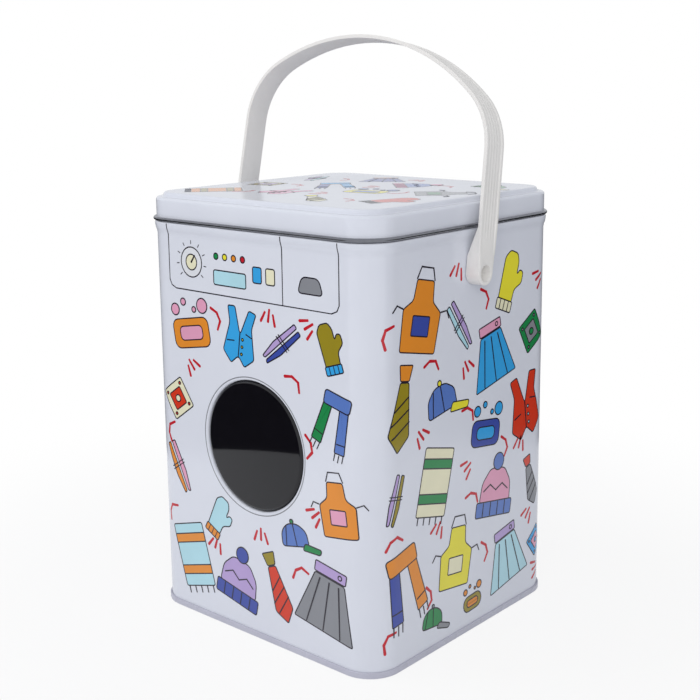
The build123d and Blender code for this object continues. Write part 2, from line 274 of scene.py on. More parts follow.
# Base. A pressed tinplate tray, its panel set up inside, is double-seamed over the wall's foot: edge and wall are
# hooked together, folded up and rolled flat, which leaves the band that the box stands on.
SEAM_START = 0.1
SEAM_TOP = 3.3
SEAM_PROUD = 1.05
SEAM_INSIDE = -0.65
BASE_PANEL = 3.5
BASE_BENDS = {1: 0.45, 2: 0.45, 3: 0.4, 4: 0.8}
PANEL_MARGIN = 3.0
PICK = 0.1


def close_panel(shell, above):
    """Fills the flat panel inside the edge that lies above a height, and gives the sheet its thickness."""
    inner = [e for e in shell.edges if e.is_boundary and e.verts[0].co.z > above * MM]
    bmesh.ops.contextual_create(shell, geom=inner)
    bmesh.ops.recalc_face_normals(shell, faces=shell.faces[:])
    bmesh.ops.solidify(shell, geom=shell.faces[:], thickness=SHEET * MM)


base_lacquer = stoved_lacquer("clear_lacquered_tinplate", "#C3C3D0", "#B4B4C2", gloss=0.28)
tray = bmesh.new()
section(tray, [(SEAM_START, SEAM_TOP), (SEAM_PROUD, SEAM_TOP), (SEAM_PROUD, 0), (SEAM_INSIDE, 0),
               (SEAM_INSIDE, BASE_PANEL), (SEAM_INSIDE - PANEL_MARGIN, BASE_PANEL)], BASE_BENDS)
carry_round(tray)
close_panel(tray, SEAM_TOP + PICK)
base_tray = piece(tray, "base_tray", base_lacquer)
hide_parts("base_plate")
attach(base_tray, "tin")

# Lid. One deep-drawn tinplate cap, lacquered white, slips over the neck: skirt, rim and a raised flat panel.
# Its cut edge is rolled outwards into a bead of bare tin.
SKIRT_PROUD = 0.15
RIM = 235.0
RIM_WIDTH = 3.6
PANEL = 237.5
PANEL_SLOPE = 0.8
LID_BENDS = {1: 1.5, 2: 0.6, 3: 0.8}
CURL_LEVEL = 223.4
CURL_RADIUS = 1.05
CURL_STEPS = 14
TIN_CLOUD = 3.0


def at(x, y, z):
    """Matrix that moves to a place in mm."""
    return Matrix.Translation(Vector((x, y, z)) * MM)


cap = bmesh.new()
section(cap, [(SKIRT_PROUD, CURL_LEVEL), (SKIRT_PROUD, RIM), (-RIM_WIDTH, RIM), (-RIM_WIDTH - PANEL_SLOPE, PANEL),
              (-RIM_WIDTH - PANEL_SLOPE - PANEL_MARGIN, PANEL)], LID_BENDS)
carry_round(cap)
close_panel(cap, PANEL - PICK)
slip_lid = piece(cap, "slip_lid", white_lacquer)
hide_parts("lid")
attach(slip_lid, "lid")

# Tin-plated steel that is rolled and then bent is a grey metal, a little cloudy.
# Its grey is set darker than bright tin: painted shade for the rolled edge, which lies in shadow between skirt and
# bead.
shaded_tin_metal, _, shader, _ = mottled("bare_rolled_tin_painted_shade", "#8C8D93", "#74757B", size=TIN_CLOUD, detail=3.0,
                                  polish=(0.18, 0.3))
shader.inputs["Metallic"].default_value = 1.0
curl = bmesh.new()
curl_middle = at(WIDTH / 2 + SKIRT_PROUD - SHEET + CURL_RADIUS, -FLAT_Y, CURL_LEVEL)
bmesh.ops.create_circle(curl, segments=CURL_STEPS, radius=CURL_RADIUS * MM,
                        matrix=curl_middle @ Matrix.Rotation(pi / 2, 4, "X"))
carry_round(curl)
rolled_edge = piece(curl, "rolled_edge", shaded_tin_metal)
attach(rolled_edge, "lid")

# Print. Flat inks are litho-printed on the white lacquer before the sheet is folded, then varnished with it.
# Fields of colour with a dark line stand in staggered rows, with a plain control panel over the window.
# It is drawn flat, s along the wall from the middle of the front and z up, in thin plates that are then folded round.
# Two grey marks drawn with it are painted shade: a ring round the window and a line down the back seam.
LINE = 0.7
LIFT = 0.03
RUN_LIFT = 0.05
SPOT_LEVEL = 4
LINE_LEVEL = 5
ACCENT = 1.7
FIELD_BEND_STEPS = 4
SPOT_STEPS = 24
STROKE_STEPS = 10
CUT = 0.0005
STRAIGHT_TO = 200.0
QUARTER = pi / 2 * CORNER
SIDE_MIDDLE = FLAT_X + QUARTER + FLAT_Y
BACK_MIDDLE = 2 * SIDE_MIDDLE
INK_DULL = 0.94
INKS = {"line": "#2A2530", "red": "#C5202E", "white": "#E4E6EC", "ochre": "#9A8A22", "orange": "#E8902E",
        "sky": "#39A6E6", "yellow": "#ECE23C", "vermilion": "#D83A1E", "pink": "#E6A3C0", "navy": "#3D4FA6",
        "green": "#1F8A4A", "lilac": "#B9A2D6", "cyan": "#B5E0EC", "cream": "#ECE8C8", "blue": "#5B7CC4",
        "grey": "#8B8D93"}
INK_NUMBER = {name: i for i, name in enumerate(INKS)}
COLOURS = ["sky", "orange", "lilac", "vermilion", "green", "yellow", "pink", "navy", "ochre", "cyan", "grey", "cream",
           "blue"]
# Each motif: fields as (ink 0 or 1, rounding, corners), round spots as (ink, x, z, radius), and lines.
MOTIFS = {
    "mitten": ([(0, 2.2, ((-7, -14), (7, -14), (7.5, -4), (13.5, 1), (13, 8), (8.5, 8.5), (7, 5), (7, 12), (4, 17),
                          (-4, 17), (-8, 12))),
                (1, 1.2, ((-8, -18), (8, -18), (8, -11), (-8, -11)))],
               [],
               [((-4, -17), (-4, -12)), ((0, -17), (0, -12)), ((4, -17), (4, -12))]),
    "hat": ([(0, 2.5, ((-13, -6), (13, -6), (12, 4), (6, 11), (-6, 11), (-12, 4))),
             (1, 1.5, ((-15, -13), (15, -13), (15, -5), (-15, -5)))],
            [(1, 0, 14, 4.5)],
            [((-10, 0), (-5, 3), (0, 0), (5, 3), (10, 0)), ((-9, -12), (-9, -6)), ((-3, -12), (-3, -6)),
             ((3, -12), (3, -6)), ((9, -12), (9, -6))]),
    "scarf": ([(0, 1.0, ((2, 15), (9, 13), (12, -15), (4, -16))),
               (1, 1.0, ((-9, 14), (-2, 16), (-6, -15), (-14, -14))),
               (0, 2.0, ((-10, 18), (10, 18), (10, 9), (-10, 9)))],
              [],
              [((5, -16), (5, -20)), ((8, -16), (8, -20)), ((11, -15), (11, -19)), ((-7, -15), (-8, -19)),
               ((-10, -15), (-11, -19)), ((-13, -14), (-14, -18)), ((5, -10), (11, -9)), ((-6, -9), (-12, -8))]),
    "towel": ([(0, 1.5, ((-11, -15), (11, -15), (11, 17), (-11, 17))),
               (1, 0.9, ((-11, -9), (11, -9), (11, -4), (-11, -4))),
               (1, 0.9, ((-11, 7), (11, 7), (11, 12), (-11, 12)))],
              [],
              [((-9, -15), (-9, -18)), ((-4.5, -15), (-4.5, -18)), ((0, -15), (0, -18)), ((4.5, -15), (4.5, -18)),
               ((9, -15), (9, -18))]),
    "apron": ([(0, 1.5, ((-6, 14), (6, 14), (7, 5), (13, 1), (12, -17), (-12, -17), (-13, 1), (-7, 5))),
               (1, 1.0, ((-6, -10), (6, -10), (6, -1), (-6, -1)))],
              [],
              [((-6, 14), (-4, 19), (4, 19), (6, 14)), ((-13, 1), (-17, 2), (-19, -1)),
               ((13, 1), (17, 2), (19, -1))]),
    "tie": ([(0, 1.3, ((-3, 11), (3, 11), (6.5, -11), (0, -18), (-6.5, -11))),
             (1, 1.2, ((-4.5, 18), (4.5, 18), (3, 11), (-3, 11)))],
            [],
            [((-4.4, -1), (3.4, 5)), ((-5.6, -7), (4.4, 0)), ((-4, -12), (5.4, -5))]),
    "skirt": ([(0, 1.4, ((-8, 10), (8, 10), (16, -14), (-16, -14))),
               (1, 1.2, ((-8.5, 15), (8.5, 15), (8.5, 10), (-8.5, 10)))],
              [(1, 5, 12.5, 1.2)],
              [((-5, 8), (-9, -13)), ((0, 8), (0, -13)), ((5, 8), (9, -13))]),
    "hanky": ([(0, 1.5, ((-14, 0), (0, -14), (14, 0), (0, 14))),
               (1, 1.2, ((-8, 0), (0, -8), (8, 0), (0, 8)))],
              [(0, 0, 0, 2.4), (1, -9.6, 0, 1.2), (1, 9.6, 0, 1.2), (1, 0, 9.6, 1.2), (1, 0, -9.6, 1.2)],
              []),
    "cap": ([(0, 2.5, ((-13, -5), (11, -5), (10, 5), (3, 10), (-6, 10), (-12, 5))),
             (1, 1.6, ((7, -2), (21, -6), (19, -10), (4, -7)))],
            [(1, -1.5, 11, 1.8)],
            [((-1, 9), (0, -4)), ((-7, 8), (-9, -4))]),
    "soap": ([(0, 4.5, ((-14, -9), (14, -9), (14, 7), (-14, 7))),
              (1, 3.0, ((-9, -5), (9, -5), (9, 3), (-9, 3)))],
             [(1, -10, 12, 3.4), (1, -3, 15.5, 2.2), (1, 11, 12.5, 4.2), (1, 4.5, 11, 1.8)],
             []),
    "vest": ([(0, 1.5, ((-11, 15), (-5, 16), (0, 2), (5, 16), (11, 15), (8.5, 6), (12, -10), (5, -16), (0, -11),
                        (-5, -16), (-12, -10), (-8.5, 6)))],
             [(1, 2.2, -1, 1.0), (1, 2.2, -5, 1.0), (1, 2.2, -9, 1.0)],
             [((0, 2), (0, -11)), ((-9, -4), (-4, -3)), ((4.5, 2.5), (8.5, 1.5))]),
    "peg": ([(0, 1.0, ((-4.2, 17), (-0.6, 17), (-0.4, -16), (-3, -17), (-5, -4))),
             (1, 1.0, ((0.6, 17), (4.2, 17), (5, -4), (3, -17), (0.4, -16)))],
            [],
            [((-5.6, 2), (5.6, 3.5)), ((-5.6, 0), (5.6, 1.5))]),
}
NAMES = list(MOTIFS)
# Motifs as (name, s, z, turn in degrees, size) and red accents as (s, z, turn, kind), from the middle of their wall.
FRONT_MOTIFS = (
    ("towel", -50, 33, -16, 1.15), ("hat", -14, 29, 12, 1.1), ("tie", 16, 33, -22, 1.1), ("skirt", 51, 36, 10, 1.3),
    ("mitten", -29, 62, 28, 0.75), ("cap", 30, 64, -12, 0.85), ("peg", -60, 84, -26, 0.9),
    ("apron", 59, 88, -8, 0.95), ("hanky", -59, 124, 10, 0.95), ("scarf", 57, 131, 14, 0.9),
    ("soap", -46, 164, -10, 1.05), ("vest", -8, 166, 8, 1.0), ("peg", 22, 166, 52, 0.9),
    ("mitten", 55, 169, -18, 0.75))
FRONT_ACCENTS = (
    (-33, 42, 20, 1), (-68, 56, -60, 0), (32, 46, -30, 0), (4, 56, 0, 1), (-66, 104, -80, 0), (41, 78, 50, 1),
    (40, 116, 80, 0), (-44, 142, -40, 1), (30, 148, 30, 0), (-26, 174, 60, 0), (13, 176, 10, 1), (38, 176, 60, 1))
SIDE_MOTIFS = (
    ("apron", -42, 184, 12, 1.2), ("mitten", 34, 190, 20, 0.95), ("peg", -10, 172, -35, 0.9),
    ("skirt", 20, 152, -12, 1.2), ("hanky", 57, 158, 15, 0.95), ("tie", -58, 138, 10, 1.25),
    ("cap", -24, 134, -10, 1.05), ("vest", 52, 116, -8, 1.2), ("soap", 14, 110, 8, 0.95),
    ("towel", -31, 92, 14, 1.15), ("peg", -63, 92, 18, 0.8), ("hat", 24, 74, 10, 1.15), ("tie", 59, 70, -16, 0.9),
    ("scarf", -54, 44, -14, 1.15), ("apron", -12, 48, 8, 1.1), ("skirt", 36, 32, -10, 1.2),
    ("hanky", 66, 32, 6, 0.75), ("cap", -32, 17, 6, 0.75), ("soap", 3, 16, -4, 0.6))
SIDE_ACCENTS = (
    (-68, 176, -70, 0), (-14, 198, 20, 1), (12, 184, 60, 0), (60, 186, 60, 1), (-34, 156, 10, 0), (-2, 146, -30, 1),
    (-40, 118, -40, 1), (-2, 124, 30, 0), (32, 98, 70, 0), (-6, 92, 60, 1), (-64, 70, -20, 0), (2, 76, 20, 0),
    (46, 92, 20, 1), (-30, 64, 30, 1), (14, 42, 70, 0), (54, 48, 40, 1), (-68, 18, -60, 0), (62, 14, 80, 1),
    (-36, 32, 80, 0))
# Rows on the back and left walls: even and odd columns start at different heights and have different sizes.
COLUMNS = 4
ROWS = 5
COLUMN_PITCH = 35
ROW_PITCH = 38
COLUMN_FOOT = (45, 26)
COLUMN_SIZE = (0.8, 0.88)
ROWS_TOP = 190
ROW_TURN = 24
BESIDE = (22.5, 1)
ABOVE = (12, 19)
ACCENT_TURN = 30
# Rows on the lid.
LID_COLUMNS = 4
LID_ROWS = 3
LID_COLUMN_PITCH = 38
LID_ROW_PITCH = 42
LID_STAGGER = 8
LID_DRIFT = 3
LID_SIZE = 0.9
LID_TURN = 50
LID_BESIDE = (19, 5)
# Control panel, and a grey ring of painted shade round the window, where the sheet starts to be drawn in.
CONTROLS_TOP = 221.2
CONTROLS_FOOT = 186.5
CONTROLS_BORDER = [(57, CONTROLS_FOOT), (60.5, 188), (62, 191), (62, CONTROLS_TOP)]
CONTROLS_SPLIT = 24
GRIP = ((34, 194), (52, 194), (49, 203), (37, 203))
GRIP_ROUNDING = 3.0
DIAL_S = -44
DIAL_Z = 202
DIAL = 8.5
KNOB = 4.6
POINTER = 1.1
POINTER_TIP = (2.6, 3.6)
TICKS = 9
TICK = 0.6
TICK_RADII = (10, 11.6)
TICK_START = -130
TICK_TURN = 32.5
DISPLAY = (-14.5, 195.75, 12.5, 4.25)
BUTTON_START = 6
BUTTON_PITCH = 9.5
BUTTON_Z = 200
BUTTON_HALVES = (3.5, 4.5)
BUTTON_ROUNDING = 1.5
SIGNAL = 2.0
SIGNAL_START = -24.5
SIGNAL_PITCH = 6.7
SIGNAL_Z = 207
WINDOW_SHADE_RING = 37.15
WINDOW_SHADE_WIDTH = 0.6
# Painted shade down the back seam: its reach in height, and its width.
SEAM_SHADE_SPAN = (5.5, 214)
SEAM_SHADE_WIDTH = 0.4


def litho_ink(name, code):
    """Litho ink on lacquered tin under clear varnish: a full flat colour, a little uneven, as glossy as the sheet."""
    dulled = "#" + "".join("%02X" % int(int(code[i:i + 2], 16) * INK_DULL) for i in (1, 3, 5))
    return stoved_lacquer(name, code, dulled)


def faces_at(verts):
    """Faces that meet at some vertices, each once."""
    return list(dict.fromkeys(f for v in verts for f in v.link_faces))


def on_sheet(sheet, flat, level, ink, lined=False):
    """Gives flat new faces their height over the sheet and their ink, and a printed line along their border."""
    bmesh.ops.translate(sheet, verts=list({v for f in flat for v in f.verts}), vec=(0, -level * LIFT * MM, 0))
    for face in flat:
        face.material_index = INK_NUMBER[ink]
    if lined:
        border = bmesh.ops.inset_region(sheet, faces=flat, thickness=LINE * MM, use_even_offset=True,
                                        use_boundary=True)
        for face in border["faces"]:
            face.material_index = INK_NUMBER["line"]


def field(sheet, corners, rounding, ink, level=1, place=Matrix()):
    """Prints a closed field with rounded corners and a dark line."""
    verts = [sheet.verts.new(place @ Vector((x * MM, 0, z * MM))) for x, z in corners]
    sheet.faces.new(verts)
    rounded = bmesh.ops.bevel(sheet, geom=verts, offset=rounding * MM, offset_type="OFFSET",
                              segments=FIELD_BEND_STEPS, profile=0.5, affect="VERTICES", material=-1,
                              clamp_overlap=True)
    on_sheet(sheet, faces_at(rounded["verts"]), level, ink, lined=True)


def oblong(x, z, half_x, half_z):
    """Corners of an upright rectangle."""
    return ((x - half_x, z - half_z), (x + half_x, z - half_z), (x + half_x, z + half_z), (x - half_x, z + half_z))


def spot(sheet, x, z, radius, ink, level=1, place=Matrix()):
    """Prints a round spot with a dark line."""
    ring = bmesh.ops.create_circle(sheet, cap_ends=True, segments=SPOT_STEPS, radius=radius * MM,
                                   matrix=place @ at(x, 0, z) @ Matrix.Rotation(pi / 2, 4, "X"))
    on_sheet(sheet, faces_at(ring["verts"]), level, ink, lined=True)


def stroke(sheet, points, width, ink, level=1, place=Matrix()):
    """Prints a line with round ends through a few points: each run is a circle drawn out to the next point, and lies
    a little over the run before it."""
    for a, b in zip(points, points[1:]):
        run = Vector((b[0] - a[0], 0, b[1] - a[1])) * MM
        ring = bmesh.ops.create_circle(sheet, cap_ends=True, segments=STROKE_STEPS, radius=width / 2 * MM)["verts"]
        bmesh.ops.translate(sheet, verts=[v for v in ring if v.co.x > 0], vec=(run.length, 0, 0))
        aim = at(a[0], 0, a[1]) @ Matrix.Rotation(-atan2(run.z, run.x), 4, "Y")
        bmesh.ops.transform(sheet, matrix=place @ aim @ Matrix.Rotation(pi / 2, 4, "X"), verts=ring)
        on_sheet(sheet, faces_at(ring), level, ink)
        level += RUN_LIFT


def motif(sheet, name, s, z, turn, size, first, step):
    """Prints one motif of the list, turned by degrees, in the colour of number first and the one a step after it."""
    place = at(s, 0, z) @ Matrix.Rotation(radians(turn), 4, "Y") @ Matrix.Scale(size, 4)
    fields, spots, lines = MOTIFS[name]
    pair = [COLOURS[number % len(COLOURS)] for number in (first, first + step)]
    for level, (ink, rounding, corners) in enumerate(fields, 1):
        field(sheet, corners, rounding, pair[ink], level, place)
    for ink, x, y, radius in spots:
        spot(sheet, x, y, radius, pair[ink], SPOT_LEVEL, place)
    for points in lines:
        stroke(sheet, points, LINE, "line", LINE_LEVEL, place)


def accent(sheet, s, z, turn, kind):
    """Prints a red accent: three short rays, or a bent stroke."""
    place = at(s, 0, z) @ Matrix.Rotation(radians(turn), 4, "Y")
    rays = (((-5, 0), (-3, 5)), ((0, 1), (0, 7)), ((5, 0), (3, 5)))
    bent = (((-6, -1), (-2, 2), (3, 2), (6, -2)),)
    for points in (rays if kind % 2 else bent):
        stroke(sheet, points, ACCENT, "red", 1, place)


def thick_print(sheet):
    """Makes thin closed plates of the flat print, sunk a little into the sheet that they are printed on."""
    flat = sheet.faces[:]
    low = [g for g in bmesh.ops.extrude_face_region(sheet, geom=flat, use_keep_orig=True)["geom"]
           if isinstance(g, bmesh.types.BMVert)]
    for vert in low:
        vert.co.y = LIFT * MM
    bmesh.ops.recalc_face_normals(sheet, faces=sheet.faces[:])


def fold_round(sheet):
    """Folds the flat print round the box: first cuts it where the wall bends, then carries it along the wall."""
    cuts = [(Vector((0, 0, z)), Vector((0, 0, 1))) for z, u in wall_profile if z > STRAIGHT_TO * MM]
    for start in (FLAT_X, SIDE_MIDDLE + FLAT_Y, BACK_MIDDLE + FLAT_X, -SIDE_MIDDLE + FLAT_Y, -BACK_MIDDLE + FLAT_X):
        cuts += [(Vector(((start + QUARTER * i / CORNER_STEPS) * MM, 0, 0)), Vector((1, 0, 0)))
                 for i in range(CORNER_STEPS + 1)]
    for point, way in cuts:
        bmesh.ops.bisect_plane(sheet, geom=sheet.verts[:] + sheet.edges[:] + sheet.faces[:], dist=CUT * MM,
                               plane_co=point, plane_no=way)
    thick_print(sheet)
    walls = [(2 * FLAT_X, Vector((FLAT_X, -FLAT_Y))), (2 * FLAT_Y, Vector((FLAT_X, FLAT_Y))),
             (2 * FLAT_X, Vector((-FLAT_X, FLAT_Y))), (2 * FLAT_Y, Vector((-FLAT_X, -FLAT_Y)))]
    top_step = len(wall_profile) - 1
    for vert in sheet.verts:
        step = next(i for i in range(1, top_step + 1) if vert.co.z <= wall_profile[i][0] or i == top_step)
        (low, u_low), (high, u_high) = wall_profile[step - 1], wall_profile[step]
        proud = u_low + (u_high - u_low) * (vert.co.z - low) / (high - low) - vert.co.y
        way = (vert.co.x / MM + FLAT_X) % (4 * SIDE_MIDDLE)
        turn = 0.0
        for run, corner in walls:
            if way <= run + QUARTER:
                break
            way -= run + QUARTER
            turn += pi / 2
        back = max(0.0, run - way)
        bend = turn + max(0.0, way - run) / CORNER
        along = Vector((cos(turn), sin(turn)))
        out = Vector((sin(bend), -cos(bend)))
        place = corner * MM - along * back * MM + out * (CORNER * MM + proud)
        vert.co = (place.x, place.y, vert.co.z)


litho_inks = [litho_ink("litho_ink_" + name, code) for name, code in INKS.items()]
strip = bmesh.new()
for name, s, z, turn, size in FRONT_MOTIFS:
    motif(strip, name, s, z, turn, size, first=7 * s + 3 * z, step=5)
for s, z, turn, kind in FRONT_ACCENTS:
    accent(strip, s, z, turn, kind)
for number, (name, s, z, turn, size) in enumerate(SIDE_MOTIFS):
    motif(strip, name, SIDE_MIDDLE + s, z, turn, size, first=4 * number + 1, step=6)
for s, z, turn, kind in SIDE_ACCENTS:
    accent(strip, SIDE_MIDDLE + s, z, turn, kind)
for wall_number, middle in enumerate((BACK_MIDDLE, -SIDE_MIDDLE)):
    for column in range(COLUMNS):
        for row in range(ROWS):
            number = ROWS * (COLUMNS * wall_number + column) + row
            s = middle + COLUMN_PITCH * (column - (COLUMNS - 1) / 2)
            z = COLUMN_FOOT[column % 2] + ROW_PITCH * row
            if z > ROWS_TOP:
                continue
            motif(strip, NAMES[(5 * number + column) % len(NAMES)], s, z, ROW_TURN * sin(2.7 * number),
                  COLUMN_SIZE[column % 2], first=4 * number + row, step=6)
            if column < COLUMNS - 1:
                accent(strip, s + BESIDE[0], z + BESIDE[1], 70 + ACCENT_TURN * sin(number), number)
                accent(strip, s + ABOVE[0], z + ABOVE[1], ACCENT_TURN * cos(number), number + 1)

stroke(strip, [(-s, z) for s, z in reversed(CONTROLS_BORDER)] + CONTROLS_BORDER, LINE, "line")
stroke(strip, ((CONTROLS_SPLIT, CONTROLS_TOP), (CONTROLS_SPLIT, CONTROLS_FOOT)), LINE, "line")
field(strip, GRIP, GRIP_ROUNDING, "grey")
spot(strip, DIAL_S, DIAL_Z, DIAL, "white")
spot(strip, DIAL_S, DIAL_Z, KNOB, "cream", level=2)
stroke(strip, ((DIAL_S, DIAL_Z), (DIAL_S + POINTER_TIP[0], DIAL_Z + POINTER_TIP[1])), POINTER, "line", level=4)
for tick in range(TICKS):
    lean = radians(TICK_START + TICK_TURN * tick)
    stroke(strip, [(DIAL_S + r * sin(lean), DIAL_Z + r * cos(lean)) for r in TICK_RADII], TICK, "line")
field(strip, oblong(*DISPLAY), BUTTON_ROUNDING, "cyan")
for signal, ink in enumerate(("green", "yellow", "orange", "red")):
    spot(strip, SIGNAL_START + SIGNAL_PITCH * signal, SIGNAL_Z, SIGNAL, ink)
for button, ink in enumerate(("sky", "cream")):
    field(strip, oblong(BUTTON_START + BUTTON_PITCH * button, BUTTON_Z, *BUTTON_HALVES), BUTTON_ROUNDING, ink)
# A grey ring round the window is painted shade: the shadow line where the sheet turns in, drawn in the grey ink.
shade_ring_edges = []
for radius in (WINDOW_SHADE_RING, WINDOW_SHADE_RING + WINDOW_SHADE_WIDTH):
    circle = bmesh.ops.create_circle(strip, segments=WINDOW_STEPS, radius=radius * MM,
                                     matrix=at(0, 0, WINDOW_LEVEL) @ Matrix.Rotation(pi / 2, 4, "X"))
    shade_ring_edges += edges_at(circle["verts"])
on_sheet(strip, bmesh.ops.bridge_loops(strip, edges=shade_ring_edges)["faces"], 1, "grey")
# A grey line down the back seam is painted shade, standing for the shadow in the seam's groove.
stroke(strip, [(BACK_MIDDLE, z) for z in SEAM_SHADE_SPAN], SEAM_SHADE_WIDTH, "grey")
fold_round(strip)
wall_print = piece(strip, "wall_print", *litho_inks)
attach(wall_print, "tin")

top = bmesh.new()
for number in range(LID_COLUMNS * LID_ROWS):
    column = number % LID_COLUMNS
    s = LID_COLUMN_PITCH * (column - (LID_COLUMNS - 1) / 2) + LID_DRIFT * sin(3.1 * number)
    t = LID_ROW_PITCH * (number // LID_COLUMNS - 1) + (LID_STAGGER if number % 2 else -LID_STAGGER)
    motif(top, NAMES[(7 * number + 3) % len(NAMES)], s, t, LID_TURN * sin(1.9 * number + 1), LID_SIZE,
          first=5 * number + 1, step=7)
    if column < LID_COLUMNS - 1:
        accent(top, s + LID_BESIDE[0], t + LID_BESIDE[1], 60 + LID_TURN * cos(number), number)
thick_print(top)
bmesh.ops.rotate(top, cent=(0, 0, 0), matrix=Matrix.Rotation(-pi / 2, 3, "X"), verts=top.verts[:])
bmesh.ops.translate(top, vec=(0, 0, PANEL * MM), verts=top.verts[:])
lid_print = piece(top, "lid_print", *litho_inks)
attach(lid_print, "lid")

# Handle. One strap of soft white plastic is moulded with raised edges and fine ribs outside. Its ends are thick,
# with a round recess, and their split studs snap through the side walls, so that the arch can swing.
# The ribs are drawn lower than real ones and with sloping flanks, because sharp ones turn to grain in a render.
PIVOT = Vector((0, 0, PIVOT_LEVEL)) * MM
LEAN = radians(-10)
BOSS_FACE = 82.8
BOSS_OUTSIDE = 91.25
TOE_IN = radians(2.3)
RISE = 123.0
CROWN = 126.5
CROWN_SHIFT = -8.0
CROWN_STEPS = 30
SHOULDER = 40.0
SHOULDER_STEPS = 20
ARCH_AXIS = (0, -1, 0)
STRAP = 15.0
STRAP_THICK = 2.0
STRAP_SOFT = 0.14
EDGE_RIB = 1.5
FIELD = 0.5
RIBS = 4
RIB_WIDTH = 0.8
RIB_HEIGHT = 0.18
RIB_FLANK = 0.5
FIELD_FOOT = 10.0
FIELD_SINK = 0.62
BOSS_RADIUS = 6.2
BOSS_STEPS = 20
BOSS_FLAT = 8.0
BOSS_SOFT = 0.55
FLARE_TOP = 24.0
RECESS = 4.4
RECESS_DEPTH = 5.6
RECESS_SOFT = 0.15
RECESS_STEPS = 40
SOFT_STEPS = 3
CRISP = radians(40)
END_CUT = 0.0001
STUD = 3.5
STUD_ROOT = 1.0
STUD_NOSE = 3.0
STUD_BARB = 4.6
STUD_TIP = 78.7
STUD_SHOULDER = 81.9
FLOW_MARK = 12.0
MOULD_GRIT = 4.0
MOULD_GRIT_HEIGHT = 0.06
POLYETHYLENE_IOR = 1.51


def shoulder_arc(side):
    """Centre, as (outwards, up), climb of the leg to it and end angle of the arc that joins a leg to the crown."""
    up = Vector((-sin(TOE_IN), cos(TOE_IN)))
    crown = Vector((side * CROWN_SHIFT, RISE - CROWN))
    foot = Vector((BOSS_OUTSIDE, 0)) - Vector((cos(TOE_IN), sin(TOE_IN))) * SHOULDER
    along = (foot - crown).dot(up)
    climb = -along + sqrt(along ** 2 - (foot - crown).length_squared + (CROWN - SHOULDER) ** 2)
    centre = foot + up * climb
    return centre, climb, atan2(centre.y - crown.y, centre.x - crown.x)


# Injection-moulded soft polyethylene is milky and satin, with faint flow marks that break up its sheen.
milky_plastic, tree, shader, place = mottled("white_moulded_polyethylene", "#EBE9E6", "#E3E1DE", size=FLOW_MARK,
                                             detail=3.0, polish=(0.5, 0.6))
grit = add(tree, "ShaderNodeTexNoise", {"Vector": place, "Scale": 1 / (MOULD_GRIT * MM), "Detail": 2.0})
skin = add(tree, "ShaderNodeBump", {"Height": grit.outputs[0], "Strength": 0.2, "Distance": MOULD_GRIT_HEIGHT * MM})
tree.links.new(skin.outputs[0], shader.inputs["Normal"])
shader.inputs["IOR"].default_value = POLYETHYLENE_IOR

# The strap's section, as (across, depth under its outside), starts at the near end and is carried over the arch.
strap = bmesh.new()
field_half = STRAP / 2 - EDGE_RIB
pitch = 2 * field_half / (RIBS + 1)
rib_foot = (RIB_WIDTH + RIB_FLANK) / 2
rib_top = (RIB_WIDTH - RIB_FLANK) / 2
outside = [(-STRAP / 2, STRAP_THICK), (-STRAP / 2, 0), (-field_half, 0), (-field_half + RIB_FLANK, FIELD)]
for i in range(RIBS):
    middle = (i - (RIBS - 1) / 2) * pitch
    outside += [(middle - rib_foot, FIELD), (middle - rib_top, FIELD - RIB_HEIGHT),
                (middle + rib_top, FIELD - RIB_HEIGHT), (middle + rib_foot, FIELD)]
outside += [(field_half - RIB_FLANK, FIELD), (field_half, 0), (STRAP / 2, 0), (STRAP / 2, STRAP_THICK)]
foot_x = BOSS_OUTSIDE - FIELD_FOOT * tan(TOE_IN)
loop = [strap.verts.new(Vector((foot_x - d * cos(TOE_IN), y, FIELD_FOOT - d * sin(TOE_IN))) * MM) for y, d in outside]
for i, vert in enumerate(loop):
    strap.edges.new((vert, loop[(i + 1) % len(loop)]))
bmesh.ops.bevel(strap, geom=loop, offset=STRAP_SOFT * MM, offset_type="OFFSET", segments=SOFT_STEPS, profile=0.5,
                affect="VERTICES", material=-1)
first_end = strap.edges[:]
foot_verts = strap.verts[:]
up_leg = Vector((-sin(TOE_IN), 0, cos(TOE_IN))) * MM
down_leg = Vector((-sin(TOE_IN), 0, -cos(TOE_IN))) * MM
right_centre, right_climb, right_end = shoulder_arc(1)
left_centre, left_climb, left_end = shoulder_arc(-1)
edges = extrude_along(strap, first_end, up_leg * (FLARE_TOP - FIELD_FOOT))
edges = extrude_along(strap, edges, up_leg * (right_climb - FLARE_TOP))
for centre, angle, steps in (
        (Vector((right_centre.x, 0, right_centre.y)), right_end - TOE_IN, SHOULDER_STEPS),
        (Vector((CROWN_SHIFT, 0, RISE - CROWN)), pi - right_end - left_end, CROWN_STEPS),
        (Vector((-left_centre.x, 0, left_centre.y)), left_end - TOE_IN, SHOULDER_STEPS)):
    edges = turn_round(strap, edges, centre * MM, ARCH_AXIS, angle, steps)
edges = extrude_along(strap, edges, down_leg * (left_climb - FLARE_TOP))
last_end = extrude_along(strap, edges, down_leg * (FLARE_TOP - FIELD_FOOT))
foot_verts += list({v for e in last_end for v in e.verts})
narrow = (BOSS_RADIUS + (STRAP / 2 - BOSS_RADIUS) * FIELD_FOOT / FLARE_TOP) / (STRAP / 2)
bmesh.ops.scale(strap, vec=(1, narrow, 1), verts=foot_verts)
for end in (first_end, last_end):
    bmesh.ops.contextual_create(strap, geom=end)

